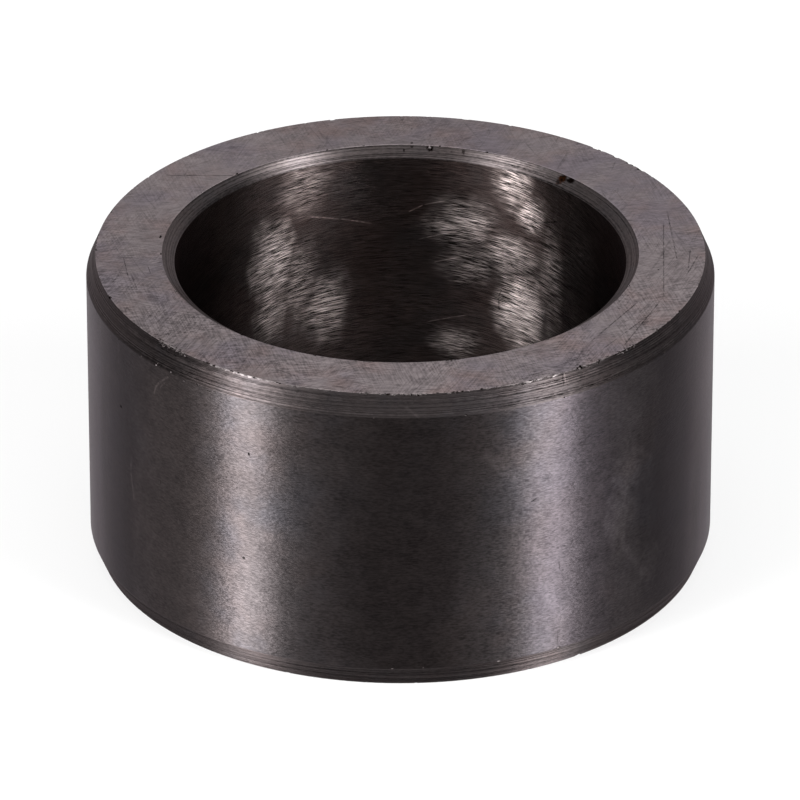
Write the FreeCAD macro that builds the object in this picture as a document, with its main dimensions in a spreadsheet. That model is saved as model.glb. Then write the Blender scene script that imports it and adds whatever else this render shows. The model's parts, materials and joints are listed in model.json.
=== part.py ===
import FreeCAD, Part
import Sketcher
import os

# Spacer sleeve: one ring of hardened steel, turned from bar, ground outside and
# honed in the bore. Both ends are alike: a long lead-in taper outside, a chamfer
# in the bore, and on both the rings that the turning tool left.
# Millimetres. The bore's axis is +Z and the sleeve stands on z = 0.

sleeveSizes = [
    # name, value, what it is
    ("bore_diameter", 50.3, "honed bore, runs free on a 50 mm pin"),
    ("wall_thickness", 9.85, "bore wall to ground outside wall, for 70 mm outside"),
    ("sleeve_length", 36.0, "face to face"),
    ("lead_in_length", 2.5, "outside taper, along the axis"),
    ("lead_in_drop", 1.05, "outside taper, across the wall"),
    ("bore_chamfer_length", 1.05, "bore chamfer, along the axis"),
    ("bore_chamfer_rise", 1.45, "bore chamfer, across the wall"),
    ("ring_margin", 0.57, "edge of a taper to its first turned ring"),
    ("ring_feed", 0.26, "tool feed, from one ring to the next"),
    ("ring_width", 0.16, "turned ring, across its mouth"),
    ("ring_depth", 0.04, "turned ring, below the taper"),
]

# Places that several sketches share, as formulas on the sheet
boreRadius = "sizes.bore_diameter / 2"
outerRadius = "sizes.bore_diameter / 2 + sizes.wall_thickness"
faceInnerRadius = "sizes.bore_diameter / 2 + sizes.bore_chamfer_rise"
faceOuterRadius = "sizes.bore_diameter / 2 + sizes.wall_thickness - sizes.lead_in_drop"
topFace = "sizes.sleeve_length"
leadInEnd = "sizes.sleeve_length - sizes.lead_in_length"
boreChamferEnd = "sizes.sleeve_length - sizes.bore_chamfer_length"


def makeSheet(doc):
    # One row a size: name, value under that name as alias, and note
    sheet = doc.addObject("Spreadsheet::Sheet", "sizes")
    for row, (name, value, note) in enumerate(sleeveSizes, start=1):
        sheet.set(f"A{row}", name)
        sheet.set(f"B{row}", str(value))
        sheet.setAlias(f"B{row}", name)
        sheet.set(f"C{row}", note)
    doc.recompute()


def originItem(body, role):
    # One of the body's own origin planes or axes
    return next(item for item in body.Origin.OriginFeatures if item.Role == role)


def newSketch(body, name):
    # On the XZ plane, so x is a radius and y is a height
    sketch = body.newObject("Sketcher::SketchObject", name)
    sketch.AttachmentSupport = [(originItem(body, "XZ_Plane"), "")]
    sketch.MapMode = "FlatFace"
    return sketch


def drawOutline(sketch, corners):
    # Closed outline of straight lines, whose corners follow formulas
    places = [
        FreeCAD.Vector(float(sketch.evalExpression(x)), float(sketch.evalExpression(y)), 0)
        for x, y in corners
    ]
    first = sketch.GeometryCount
    last = first + len(corners) - 1
    for start, end in zip(places, places[1:] + places[:1]):
        sketch.addGeometry(Part.LineSegment(start, end), False)
    for line in range(first, last):
        sketch.addConstraint(Sketcher.Constraint("Coincident", line, 2, line + 1, 1))
    sketch.addConstraint(Sketcher.Constraint("Coincident", last, 2, first, 1))

    for line, (x, y), place in zip(range(first, last + 1), corners, places):
        for kind, formula, value in (("DistanceX", x, place.x), ("DistanceY", y, place.y)):
            number = sketch.addConstraint(Sketcher.Constraint(kind, -1, 1, line, 1, value))
            sketch.setExpression(f"Constraints[{number}]", formula)


def turn(body, kind, name, sketch):
    # A full turn of the sketch about the bore's axis: a Revolution adds, a Groove cuts
    before = body.Shape.Volume if body.Tip else 0
    feature = body.newObject(f"PartDesign::{kind}", name)
    feature.Profile = sketch
    feature.ReferenceAxis = (originItem(body, "Z_Axis"), [""])
    feature.Angle = 360
    body.Tip = feature
    body.Document.recompute()
    change = feature.Shape.Volume - before
    if (change > 0) != (kind == "Revolution"):
        raise RuntimeError(f"{name} changed the volume by {change}")
    return feature


def makeBlank(body):
    # The bar, drilled, ground and faced: outside wall, bore and two flat faces
    sketch = newSketch(body, "blank_section")
    drawOutline(sketch, [
        (boreRadius, "0"),
        (outerRadius, "0"),
        (outerRadius, topFace),
        (boreRadius, topFace),
    ])
    return turn(body, "Revolution", "blank", sketch)


def cutLeadIn(body):
    # Long taper on the outside, so that the sleeve starts straight in its housing
    sketch = newSketch(body, "lead_in_section")
    drawOutline(sketch, [
        (faceOuterRadius, topFace),
        (outerRadius, leadInEnd),
        (outerRadius, topFace),
    ])
    return turn(body, "Groove", "lead_in", sketch)


def cutBoreChamfer(body):
    # Chamfer in the bore, so that the pin finds its way in
    sketch = newSketch(body, "bore_chamfer_section")
    drawOutline(sketch, [
        (boreRadius, boreChamferEnd),
        (faceInnerRadius, topFace),
        (boreRadius, topFace),
    ])
    return turn(body, "Groove", "bore_chamfer", sketch)


def cutRings(body, name, startRadius, startHeight, slopeAngle, places):
    # Fine V rings on a taper. The sketch is turned into the slope: x runs along
    # the taper from its start and y stands out of the metal.
    sketch = newSketch(body, f"{name}_section")
    sketch.AttachmentOffset = FreeCAD.Placement(
        FreeCAD.Vector(0, 0, 0), FreeCAD.Rotation(FreeCAD.Vector(0, 0, 1), 45))
    sketch.setExpression(".AttachmentOffset.Base.x", startRadius)
    sketch.setExpression(".AttachmentOffset.Base.y", startHeight)
    sketch.setExpression(".AttachmentOffset.Rotation.Angle", slopeAngle)
    for place in places:
        drawOutline(sketch, [
            (f"{place} - sizes.ring_width", "sizes.ring_depth"),
            (place, "-sizes.ring_depth"),
            (f"{place} + sizes.ring_width", "sizes.ring_depth"),
        ])
    return turn(body, "Groove", name, sketch)


def cutLeadInRings(body):
    # Two pairs of rings, one pair near each edge of the outside taper
    slope = "hypot(sizes.lead_in_length; sizes.lead_in_drop)"
    return cutRings(
        body, "lead_in_rings", faceOuterRadius, topFace,
        "-atan2(sizes.lead_in_length; sizes.lead_in_drop)",
        [
            "sizes.ring_margin",
            "sizes.ring_margin + sizes.ring_feed",
            f"{slope} - sizes.ring_margin - sizes.ring_feed",
            f"{slope} - sizes.ring_margin",
        ])


def cutBoreRings(body):
    # One ring near each edge of the bore chamfer
    slope = "hypot(sizes.bore_chamfer_length; sizes.bore_chamfer_rise)"
    return cutRings(
        body, "bore_rings", boreRadius, boreChamferEnd,
        "atan2(sizes.bore_chamfer_length; sizes.bore_chamfer_rise)",
        ["sizes.ring_margin", f"{slope} - sizes.ring_margin"])


def repeatAtOtherEnd(body, cuts):
    # The sleeve is turned end for end in the chuck and cut the same way
    middle = body.newObject("PartDesign::Plane", "middle")
    middle.AttachmentSupport = [(originItem(body, "XY_Plane"), "")]
    middle.MapMode = "FlatFace"
    middle.setExpression(".AttachmentOffset.Base.z", "sizes.sleeve_length / 2")
    mirror = body.newObject("PartDesign::Mirrored", "other_end")
    mirror.Originals = cuts
    mirror.MirrorPlane = (middle, [""])
    body.Tip = mirror
    body.Document.recompute()
    return mirror


def makeSleeve(doc):
    sleeve = doc.addObject("PartDesign::Body", "sleeve")
    sleeve.Label = "sleeve"
    makeBlank(sleeve)
    cuts = [cutLeadIn(sleeve), cutBoreChamfer(sleeve), cutLeadInRings(sleeve), cutBoreRings(sleeve)]
    repeatAtOtherEnd(sleeve, cuts)
    return sleeve


def checkModel(doc, parts):
    # Nothing is written unless every object was built and every part is sound
    doc.recompute()
    for item in doc.Objects:
        if "Invalid" in item.State or "Error" in item.State:
            raise RuntimeError(f"{item.Name} failed: {item.State}")
    for part in parts:
        if part.Shape.isNull() or not part.Shape.isValid() or len(part.Shape.Solids) != 1:
            raise RuntimeError(f"{part.Label} is not one sound solid")


def main():
    doc = FreeCAD.newDocument("spacer_sleeve")
    makeSheet(doc)
    parts = [makeSleeve(doc)]
    checkModel(doc, parts)
    os.makedirs("parts", exist_ok=True)
    for part in parts:
        part.Shape.exportStep(f"parts/{part.Label}.step")
        box = part.Shape.BoundBox
        print(part.Label, "volume", round(part.Shape.Volume, 2), "mm3, faces", len(part.Shape.Faces))
        print("box", round(box.XLength, 3), round(box.YLength, 3), round(box.ZLength, 3), "from z", box.ZMin)


main()
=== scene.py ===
import bpy
import bmesh
import json
import math
import random
from mathutils import Matrix, Vector

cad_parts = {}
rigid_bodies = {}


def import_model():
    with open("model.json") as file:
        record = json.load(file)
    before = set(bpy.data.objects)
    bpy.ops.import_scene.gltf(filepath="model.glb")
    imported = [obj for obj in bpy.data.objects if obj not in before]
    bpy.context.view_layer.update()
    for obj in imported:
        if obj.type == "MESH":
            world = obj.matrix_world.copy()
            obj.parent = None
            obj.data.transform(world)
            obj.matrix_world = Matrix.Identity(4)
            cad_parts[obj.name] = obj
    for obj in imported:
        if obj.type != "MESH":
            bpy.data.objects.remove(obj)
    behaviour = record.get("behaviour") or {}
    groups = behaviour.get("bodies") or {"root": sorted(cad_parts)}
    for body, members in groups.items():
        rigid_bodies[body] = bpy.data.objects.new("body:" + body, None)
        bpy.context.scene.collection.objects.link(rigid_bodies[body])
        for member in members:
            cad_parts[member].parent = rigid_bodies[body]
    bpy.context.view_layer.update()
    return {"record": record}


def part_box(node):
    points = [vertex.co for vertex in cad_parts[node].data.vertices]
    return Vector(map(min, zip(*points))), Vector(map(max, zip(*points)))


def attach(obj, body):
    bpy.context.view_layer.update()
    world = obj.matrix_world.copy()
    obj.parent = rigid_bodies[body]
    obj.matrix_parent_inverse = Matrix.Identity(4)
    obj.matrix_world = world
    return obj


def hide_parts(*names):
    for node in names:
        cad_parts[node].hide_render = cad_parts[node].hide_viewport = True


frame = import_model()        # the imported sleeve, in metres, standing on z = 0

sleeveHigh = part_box("sleeve")[1]
mounts = {mount["name"]: mount["dims"] for mount in frame["record"]["mounts"]}
mm = 0.001
touching = 0.001 * mm     # points closer than this are one place

scene = bpy.context.scene
scene.view_settings.view_transform = "Standard"
random.seed(7)


# Selecting

def deselectAll():
    if bpy.context.object and bpy.context.object.mode != "OBJECT":
        bpy.ops.object.mode_set(mode="OBJECT")
    bpy.ops.object.select_all(action="DESELECT")


def selectOnly(obj):
    deselectAll()
    obj.select_set(True)
    bpy.context.view_layer.objects.active = obj


def startSelecting(obj, mode):
    # Everything deselected first, because a deselected neighbour takes shared points with it
    bpy.ops.mesh.select_mode(type=mode)
    bpy.ops.mesh.select_all(action="DESELECT")
    return bmesh.from_edit_mesh(obj.data)


def showSelection(obj, mesh):
    mesh.select_flush_mode()
    bmesh.update_edit_mesh(obj.data)


def selectAll():
    bpy.ops.mesh.select_all(action="SELECT")


def selectVerts(obj, test):
    mesh = startSelecting(obj, "VERT")
    for vert in mesh.verts:
        if test(vert.co):
            vert.select_set(True)
    showSelection(obj, mesh)


def selectEdges(obj, test):
    mesh = startSelecting(obj, "EDGE")
    for edge in mesh.edges:
        if test(edge.verts[0].co, edge.verts[1].co):
            edge.select_set(True)
    showSelection(obj, mesh)


def radiusOf(point):
    return math.hypot(point.x, point.y)


# The sleeve's section, drawn in the XZ plane and spun round

sleeve = {
    "boreRadius": mounts["bore"]["r_mm"] * mm,
    "outerRadius": mounts["outside_wall"]["r_mm"] * mm,
    "length": sleeveHigh.z,
    "leadInLength": 2.5 * mm,
    "leadInDrop": 1.05 * mm,
    "boreChamferLength": 1.05 * mm,
    "boreChamferRise": 1.45 * mm,
    "edgeBreak": 0.07 * mm,        # the corners are only just rounded
    "edgeSteps": 2,
    "turns": 480,                  # faces round the sleeve
    "sectors": 8,
    "leadInSteps": 30,             # faces down a lead-in, three to a tool ring
    "boreChamferSteps": 21,
    "wallSteps": 6,
    "faceSteps": 4,
    "ringDepth": 0.01 * mm,        # every feed ring
    "deepRingDepth": 0.035 * mm,   # the rings that show as dark lines
    "deepRingMargin": 0.57 * mm,   # taper's edge to the first deep ring
    "ringFeed": 0.26 * mm,
}
sleeve["faceOuterRadius"] = sleeve["outerRadius"] - sleeve["leadInDrop"]
sleeve["faceInnerRadius"] = sleeve["boreRadius"] + sleeve["boreChamferRise"]


def tapersOf(spec):
    # Each taper in the section: where it starts at the face, which way it runs and which way is out
    top = spec["length"]
    middle = Vector(((spec["boreRadius"] + spec["outerRadius"]) / 2, 0, top / 2))
    tapers = []
    for kind, faceRadius, wallRadius, length in (
            ("leadIn", spec["faceOuterRadius"], spec["outerRadius"], spec["leadInLength"]),
            ("boreChamfer", spec["faceInnerRadius"], spec["boreRadius"], spec["boreChamferLength"])):
        for faceHeight, wallHeight in ((0, length), (top, top - length)):
            start = Vector((faceRadius, 0, faceHeight))
            way = Vector((wallRadius, 0, wallHeight)) - start
            along = way.normalized()
            outward = along.cross(Vector((0, 1, 0)))
            if outward.dot(start - middle) < 0:
                outward = -outward
            tapers.append({"kind": kind, "start": start, "along": along, "outward": outward,
                           "slope": way.length})
    return tapers


def drawSection(spec, tapers):
    deselectAll()
    bpy.ops.mesh.primitive_plane_add(size=1)
    section = bpy.context.object
    section.name = "turned_sleeve"
    bpy.ops.object.mode_set(mode="EDIT")
    selectAll()
    bpy.ops.transform.rotate(value=math.pi / 2, orient_axis="X", center_override=(0, 0, 0))
    wall = spec["outerRadius"] - spec["boreRadius"]
    bpy.ops.transform.resize(value=(wall, 1, spec["length"]))
    middle = (spec["outerRadius"] + spec["boreRadius"]) / 2
    bpy.ops.transform.translate(value=(middle, 0, spec["length"] / 2))
    for taper in tapers:
        selectAll()
        bpy.ops.mesh.bisect(plane_co=taper["start"], plane_no=taper["outward"], clear_outer=True)
    selectAll()
    bpy.ops.mesh.bevel(offset=spec["edgeBreak"], segments=spec["edgeSteps"], affect="VERTICES")
    bpy.ops.mesh.delete(type="ONLY_FACE")
    return section


def onTaper(taper, point):
    # Distance down the taper from its face edge, or None off the taper
    away = point - taper["start"]
    if abs(away.dot(taper["outward"])) > touching:
        return None
    place = away.dot(taper["along"])
    return place if 0 < place < taper["slope"] else None


def splitSection(section, spec, tapers):
    # Cuts each straight side into the steps that its finish needs
    steps = {"leadIn": spec["leadInSteps"], "boreChamfer": spec["boreChamferSteps"]}
    short = 4 * spec["edgeBreak"]
    for taper in tapers:
        selectEdges(section, lambda a, b: (a - b).length > short
                    and onTaper(taper, a) is not None and onTaper(taper, b) is not None)
        bpy.ops.mesh.subdivide(number_cuts=steps[taper["kind"]] - 1)
    selectEdges(section, lambda a, b: abs(a.x - b.x) < short and abs(a.z - b.z) > spec["length"] / 2)
    bpy.ops.mesh.subdivide(number_cuts=spec["wallSteps"] - 1)
    selectEdges(section, lambda a, b: abs(a.z - b.z) < short and abs(a.x - b.x) > spec["boreChamferRise"])
    bpy.ops.mesh.subdivide(number_cuts=spec["faceSteps"] - 1)


def pressIn(section, taper, points, depth):
    selectVerts(section, lambda co: any((co - point).length < touching for point in points))
    bpy.ops.transform.translate(value=taper["outward"] * -depth)


def pressRings(section, spec, taper):
    # Tool rings: every third point goes in a little, and those near the edges further
    mesh = bmesh.from_edit_mesh(section.data)
    points = [vert.co.copy() for vert in mesh.verts if onTaper(taper, vert.co) is not None]
    points.sort(key=lambda point: onTaper(taper, point))
    rings = points[3:-2:3]
    places = [spec["deepRingMargin"], taper["slope"] - spec["deepRingMargin"]]
    if taper["kind"] == "leadIn":
        places += [places[0] + spec["ringFeed"], places[1] - spec["ringFeed"]]
    deepRings = [min(rings, key=lambda point: abs(onTaper(taper, point) - place)) for place in places]
    shallowRings = [point for point in rings if point not in deepRings]
    pressIn(section, taper, shallowRings, spec["ringDepth"])
    pressIn(section, taper, deepRings, spec["deepRingDepth"])


def spinSection(spec):
    # One sector is spun, then doubled until it goes all the way round, which is quicker
    angle = 2 * math.pi / spec["sectors"]
    selectAll()
    steps = spec["turns"] // spec["sectors"]
    bpy.ops.mesh.spin(steps=steps, angle=angle, center=(0, 0, 0), axis=(0, 0, 1))
    while angle < 1.99 * math.pi:
        selectAll()
        bpy.ops.mesh.duplicate()
        bpy.ops.transform.rotate(value=angle, orient_axis="Z", center_override=(0, 0, 0))
        angle *= 2
    selectAll()
    bpy.ops.mesh.remove_doubles(threshold=touching)
    bpy.ops.mesh.normals_make_consistent(inside=False)
    bpy.ops.object.mode_set(mode="OBJECT")


def makeSleeve(spec):
    tapers = tapersOf(spec)
    section = drawSection(spec, tapers)
    splitSection(section, spec, tapers)
    for taper in tapers:
        pressRings(section, spec, taper)
    spinSection(spec)
    return section


turnedSleeve = makeSleeve(sleeve)
print("sleeve turned:", len(turnedSleeve.data.polygons), "faces")


def around(degrees, radius, height):
    # A place on the sleeve, by its angle round the axis, with -90 at the viewer
    angle = math.radians(degrees)
    return Vector((radius * math.cos(angle), radius * math.sin(angle), height))


# Nicks and pits, cut by small chips of random shape

nicks = {
    "chipShapes": 4,
    "roughness": 0.3,              # how far a chip is from a ball
    "sink": 0.55,                  # how far down a chip sits in the metal
    "pitSink": 0.72,               # the same for the single pits
    "reach": 1.4,                  # how far out a chip may reach, in its half widths
    # by edge: first and last angle, how many, smallest and largest half width in mm, scatter in mm
    "stretches": {
        "upperOuter": (
            (-141.5, -133.5, 90, 0.05, 0.12, 0.38),
            (-133, -97, 30, 0.07, 0.16, 0.06),
            (-97, -84, 26, 0.08, 0.24, 0.1),
            (-84, -58, 40, 0.06, 0.17, 0.12),
            (-56, -40, 40, 0.07, 0.2, 0.25),
            (-41, 30, 20, 0.06, 0.18, 0.05),
            (33, 50, 12, 0.18, 0.45, 0.1),
            (50, 217, 44, 0.08, 0.28, 0.05),
        ),
        "upperInner": (
            (-99.5, -95, 7, 0.1, 0.28, 0.1),
            (-79, -75, 6, 0.1, 0.25, 0.4),
            (-180, 180, 24, 0.06, 0.16, 0.1),
        ),
        "leadInFoot": (
            (-140, -125, 8, 0.06, 0.14, 0.3),
            (-180, 180, 26, 0.05, 0.14, 0.1),
        ),
        "lowerOuter": ((-180, 180, 40, 0.08, 0.25, 0.1),),
        "lowerWall": ((-180, 180, 26, 0.06, 0.2, 0.1),),
    },
    # angle, radius, height, half width round the axis and half height in mm, which way out in degrees
    "pits": (
        (-118.1, 35, 27.0, 0.12, 0.26, 0),
        (-119.3, 35, 13.9, 0.2, 0.16, 0),
        (-139.0, 35, 19.2, 0.1, 0.42, 0),
        (-151.6, 35, 25.3, 0.16, 0.24, 0),
        (-120.6, 35, 22.4, 0.1, 0.1, 0),
        (-54.6, 33.9, 36, 0.2, 0.46, 75),
        (-67.2, 34.0, 35.95, 0.3, 0.22, 60),
        (172.6, 27.0, 36, 0.4, 0.16, 90),
        (-9.1, 28.9, 36, 0.16, 0.16, 90),
        (82.9, 26.4, 35.9, 0.3, 0.22, 60),
        (43.6, 26.2, 35.7, 0.36, 0.2, 126),
    ),
}


def edgesOf(spec):
    # Each edge that gets knocked: radius, height, which way out in degrees above the floor,
    # and the section's way along the surface on each side of it
    top = spec["length"]
    down = Vector((spec["leadInDrop"], -spec["leadInLength"])).normalized()
    into = Vector((-spec["boreChamferRise"], -spec["boreChamferLength"])).normalized()
    mirrored = Vector((down.x, -down.y))
    return {
        "upperOuter": (spec["faceOuterRadius"], top, 56, Vector((-1, 0)), down),
        "upperInner": (spec["faceInnerRadius"], top, 108, Vector((1, 0)), into),
        "leadInFoot": (spec["outerRadius"], top - spec["leadInLength"], 11, -down, Vector((0, -1))),
        "lowerOuter": (spec["faceOuterRadius"], 0, -56, Vector((-1, 0)), mirrored),
        "lowerWall": (spec["outerRadius"], spec["leadInLength"], -11, -mirrored, Vector((0, 1))),
    }


def makeChips(spec):
    chips = []
    for number in range(spec["chipShapes"]):
        deselectAll()
        bpy.ops.mesh.primitive_ico_sphere_add(subdivisions=2, radius=1)
        chip = bpy.context.object
        bpy.ops.object.mode_set(mode="EDIT")
        selectAll()
        bpy.ops.transform.vertex_random(offset=spec["roughness"], uniform=1, normal=0.3, seed=number + 1)
        bpy.ops.object.mode_set(mode="OBJECT")
        chips.append(chip)
    return chips


def placeChip(chips, degrees, radius, height, wide, high, outward, sink):
    # A copy of a chip on the surface, its Z pointing out of the metal, with its place and half width
    chip = random.choice(chips)
    copy = bpy.data.objects.new("chip", chip.data.copy())
    scene.collection.objects.link(copy)
    rise = math.radians(outward)
    out = around(degrees, math.cos(rise), math.sin(rise))
    deep = min(wide, high)
    side = around(degrees + 90, 1, 0)
    turn = Matrix((side, out.cross(side), out)).transposed().to_4x4()
    size = Matrix.Diagonal((wide, high, deep, 1))
    lift = out * deep * (1 - 2 * sink)
    place = around(degrees, radius, height) + lift
    copy.matrix_world = Matrix.Translation(place) @ turn @ size
    return copy, place, max(wide, high)


def groupApart(placed, reach):
    # A cutter must not cross itself, so chips that may touch go into different groups
    groups = []
    for chip, place, wide in placed:
        for group in groups:
            if all((place - otherPlace).length > reach * (wide + otherWide)
                   for other, otherPlace, otherWide in group):
                group.append((chip, place, wide))
                break
        else:
            groups.append([(chip, place, wide)])
    return [[chip for chip, place, wide in group] for group in groups]


def cutWith(obj, chips):
    deselectAll()
    for chip in chips:
        chip.select_set(True)
    bpy.context.view_layer.objects.active = chips[0]
    bpy.ops.object.join()
    cutter = bpy.context.object
    bpy.ops.object.transform_apply(location=True, rotation=True, scale=True)
    for material in obj.data.materials:
        cutter.data.materials.append(material)
    for face in cutter.data.polygons:
        face.material_index = len(obj.data.materials) - 1
    selectOnly(obj)
    cut = obj.modifiers.new("nicks", "BOOLEAN")
    cut.operation = "DIFFERENCE"
    cut.object = cutter
    cut.solver = "MANIFOLD"
    bpy.ops.object.modifier_apply(modifier=cut.name)
    bpy.data.objects.remove(cutter)


def removeCrumbs(obj):
    # What the chips have cut loose goes: all that isn't joined to the bore
    selectOnly(obj)
    bpy.ops.object.mode_set(mode="EDIT")
    mesh = startSelecting(obj, "VERT")
    min(mesh.verts, key=lambda vert: radiusOf(vert.co)).select_set(True)
    showSelection(obj, mesh)
    bpy.ops.mesh.select_linked()
    bpy.ops.mesh.select_all(action="INVERT")
    bpy.ops.mesh.delete(type="VERT")
    bpy.ops.object.mode_set(mode="OBJECT")


def makeNicks(obj, spec, body):
    chips = makeChips(spec)
    edges = edgesOf(body)
    rows = [(edges[edge], *row) for edge, rows in spec["stretches"].items() for row in rows]
    placed = []
    for (radius, height, outward, oneSide, otherSide), first, last, count, *sizes in rows:
        smallest, largest, scatter = (value * mm for value in sizes)
        for number in range(count):
            wide = smallest + (largest - smallest) * random.random() ** 2
            off = random.choice((oneSide, otherSide)) * scatter * random.random()
            placed.append(placeChip(
                chips, random.uniform(first, last), radius + off.x, height + off.y,
                wide * random.uniform(1, 1.8), wide * random.uniform(0.6, 1), outward,
                spec["sink"] * random.uniform(0.6, 1.1)))
    for degrees, *sizes, outward in spec["pits"]:
        radius, height, wide, high = (value * mm for value in sizes)
        placed.append(placeChip(chips, degrees, radius, height, wide, high, outward, spec["pitSink"]))
    for chip in chips:
        bpy.data.objects.remove(chip)
    groups = groupApart(placed, spec["reach"])
    for group in groups:
        cutWith(obj, group)
    removeCrumbs(obj)
    return f"{len(placed)} in {len(groups)} cuts"


# Nodes

def plug(tree, socket, value):
    # A value is another node's output, or a plain number, vector or colour
    if isinstance(value, bpy.types.NodeSocket):
        tree.links.new(value, socket)
    else:
        socket.default_value = value


def addNode(tree, kind, inputs=None, **settings):
    # The inputs go by their names or their numbers
    node = tree.nodes.new("ShaderNode" + kind)
    for name, value in settings.items():
        setattr(node, name, value)
    for name, value in (inputs or {}).items():
        plug(tree, node.inputs[name], value)
    return node


def calculate(tree, operation, first, second=0, clamp=False):
    inputs = {0: first, 1: second}
    return addNode(tree, "Math", inputs, operation=operation, use_clamp=clamp).outputs[0]


def multiply(tree, first, second, clamp=False):
    return calculate(tree, "MULTIPLY", first, second, clamp)


def divide(tree, first, second, clamp=False):
    return calculate(tree, "DIVIDE", first, second, clamp)


def add(tree, first, second, clamp=False):
    return calculate(tree, "ADD", first, second, clamp)


def subtract(tree, first, second):
    return calculate(tree, "SUBTRACT", first, second)


def splitVector(tree, vector):
    return addNode(tree, "SeparateXYZ", {0: vector}).outputs


def joinVector(tree, x, y, z=0):
    return addNode(tree, "CombineXYZ", {0: x, 1: y, 2: z}).outputs[0]


def lengthOf(tree, x, y):
    return calculate(tree, "SQRT", add(tree, multiply(tree, x, x), multiply(tree, y, y)))


def vectorMath(tree, operation, first, second=(0, 0, 0), output="Vector"):
    return addNode(tree, "VectorMath", {0: first, 1: second}, operation=operation).outputs[output]


def fade(tree, value, low, high, toLow=0.0, toHigh=1.0):
    # A smooth step from toLow to toHigh, while the value goes from low to high
    inputs = {"Value": value, "From Min": low, "From Max": high, "To Min": toLow, "To Max": toHigh}
    return addNode(tree, "MapRange", inputs, interpolation_type="SMOOTHSTEP").outputs["Result"]


def noise(tree, vector, scale=1.0, detail=2.0, roughness=0.5):
    inputs = {"Vector": vector, "Scale": scale, "Detail": detail, "Roughness": roughness}
    return addNode(tree, "TexNoise", inputs).outputs["Fac"]


def mixColours(tree, factor, first, second, blend="MIX"):
    inputs = {0: factor, 6: first, 7: second}
    return addNode(tree, "Mix", inputs, data_type="RGBA", blend_type=blend).outputs[2]


def newGroup(name, output, kind="Float", **inputs):
    # Every effect starts from a place. Its other inputs are numbers, vectors (of 3) or colours (of 4)
    tree = bpy.data.node_groups.new(name, "ShaderNodeTree")
    kinds = {1: "Float", 3: "Vector", 4: "Color"}
    for label, value in {"Vector": (0, 0, 0), **inputs}.items():
        size = len(value) if isinstance(value, tuple) else 1
        socket = tree.interface.new_socket(label, in_out="INPUT", socket_type="NodeSocket" + kinds[size])
        socket.default_value = value
    tree.interface.new_socket(output, in_out="OUTPUT", socket_type="NodeSocket" + kind)
    start = tree.nodes.new("NodeGroupInput")
    end = tree.nodes.new("NodeGroupOutput")
    return tree, start.outputs, end.inputs[0]


def useGroup(tree, group, place, **values):
    return addNode(tree, "Group", {"Vector": place, **values}, node_tree=group).outputs[0]


# Effects that several finishes share

def buildUnrolled():
    # A round wall rolled out flat: x is the way round from the front (-1) or the back (1), y is up
    tree, given, result = newGroup("unrolled", "Flat", "Vector", Facing=-1.0)
    x, y, z = splitVector(tree, given["Vector"])
    angle = calculate(tree, "ARCTAN2", x, multiply(tree, y, given["Facing"]))
    plug(tree, result, joinVector(tree, multiply(tree, angle, lengthOf(tree, x, y)), z))
    return tree


def buildTurningLines():
    # Fine streaks round the axis, as a tool or a grinding wheel leaves them
    tree, given, result = newGroup("turningLines", "Lines", Length=2 * mm, Width=0.2 * mm,
                                   Across=0.2, Detail=2.0)
    x, y, z = splitVector(tree, given["Vector"])
    down = add(tree, z, multiply(tree, lengthOf(tree, x, y), given["Across"]))
    streak = joinVector(tree, divide(tree, x, given["Length"]),
                        divide(tree, y, given["Length"]),
                        divide(tree, down, given["Width"]))
    lines = noise(tree, streak, detail=given["Detail"], roughness=0.6)
    plug(tree, result, fade(tree, lines, 0.25, 0.75))
    return tree


def slanted(tree, given):
    # The plane's coordinates turned, so that x runs along the slant and y is bent away from it
    inputs = {"Vector": given["Vector"], "Angle": multiply(tree, given["Slant"], -math.pi / 180)}
    turned = addNode(tree, "VectorRotate", inputs, rotation_type="Z_AXIS")
    x, y = splitVector(tree, turned.outputs[0])[:2]
    bend = multiply(tree, multiply(tree, x, x), given["Bend"])
    return x, add(tree, y, bend)


# Strokes and scratches make their CombineXYZ before what goes into it. In the other order the
# lapped face's finish grows too big for Cycles and turns black

def buildStrokes():
    # Short strokes of a hone or of emery paper on a flat, slanted by so many degrees
    tree, given, result = newGroup("strokes", "Strokes", Slant=0.0, Bend=0.0, Length=2 * mm,
                                   Width=0.1 * mm, Detail=1.0)
    x, y = slanted(tree, given)
    streak = addNode(tree, "CombineXYZ")
    plug(tree, streak.inputs[0], divide(tree, x, given["Length"]))
    plug(tree, streak.inputs[1], divide(tree, y, given["Width"]))
    plug(tree, streak.inputs[2], multiply(tree, given["Slant"], 0.37))
    lines = noise(tree, streak.outputs[0], detail=given["Detail"], roughness=0.6)
    plug(tree, result, fade(tree, lines, 0.36, 0.64))
    return tree


def buildHandScratches():
    # Hairline scratches on a flat, all one way, slanted by so many degrees
    tree, given, result = newGroup("handScratches", "Mask", Slant=0.0, Bend=0.0, Length=6 * mm,
                                   Spacing=0.5 * mm, Thin=0.03, Coverage=0.4)
    x, y = slanted(tree, given)
    streak = addNode(tree, "CombineXYZ")
    plug(tree, streak.inputs[0], divide(tree, x, given["Length"]))
    plug(tree, streak.inputs[1], divide(tree, y, given["Spacing"]))
    plug(tree, streak.inputs[2], multiply(tree, given["Slant"], 0.61))
    grain = noise(tree, streak.outputs[0], detail=0.0)
    ridge = calculate(tree, "ABSOLUTE", subtract(tree, grain, 0.5))
    lines = fade(tree, ridge, 0.0, given["Thin"], 1.0, 0.0)
    moved = vectorMath(tree, "ADD", streak.outputs[0], (7.3, 2.9, 5.1))
    pieces = noise(tree, moved, scale=0.7, detail=2.0)
    least = subtract(tree, 0.75, multiply(tree, given["Coverage"], 0.5))
    kept = fade(tree, pieces, least, add(tree, least, 0.12))
    plug(tree, result, multiply(tree, lines, kept))
    return tree


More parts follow.
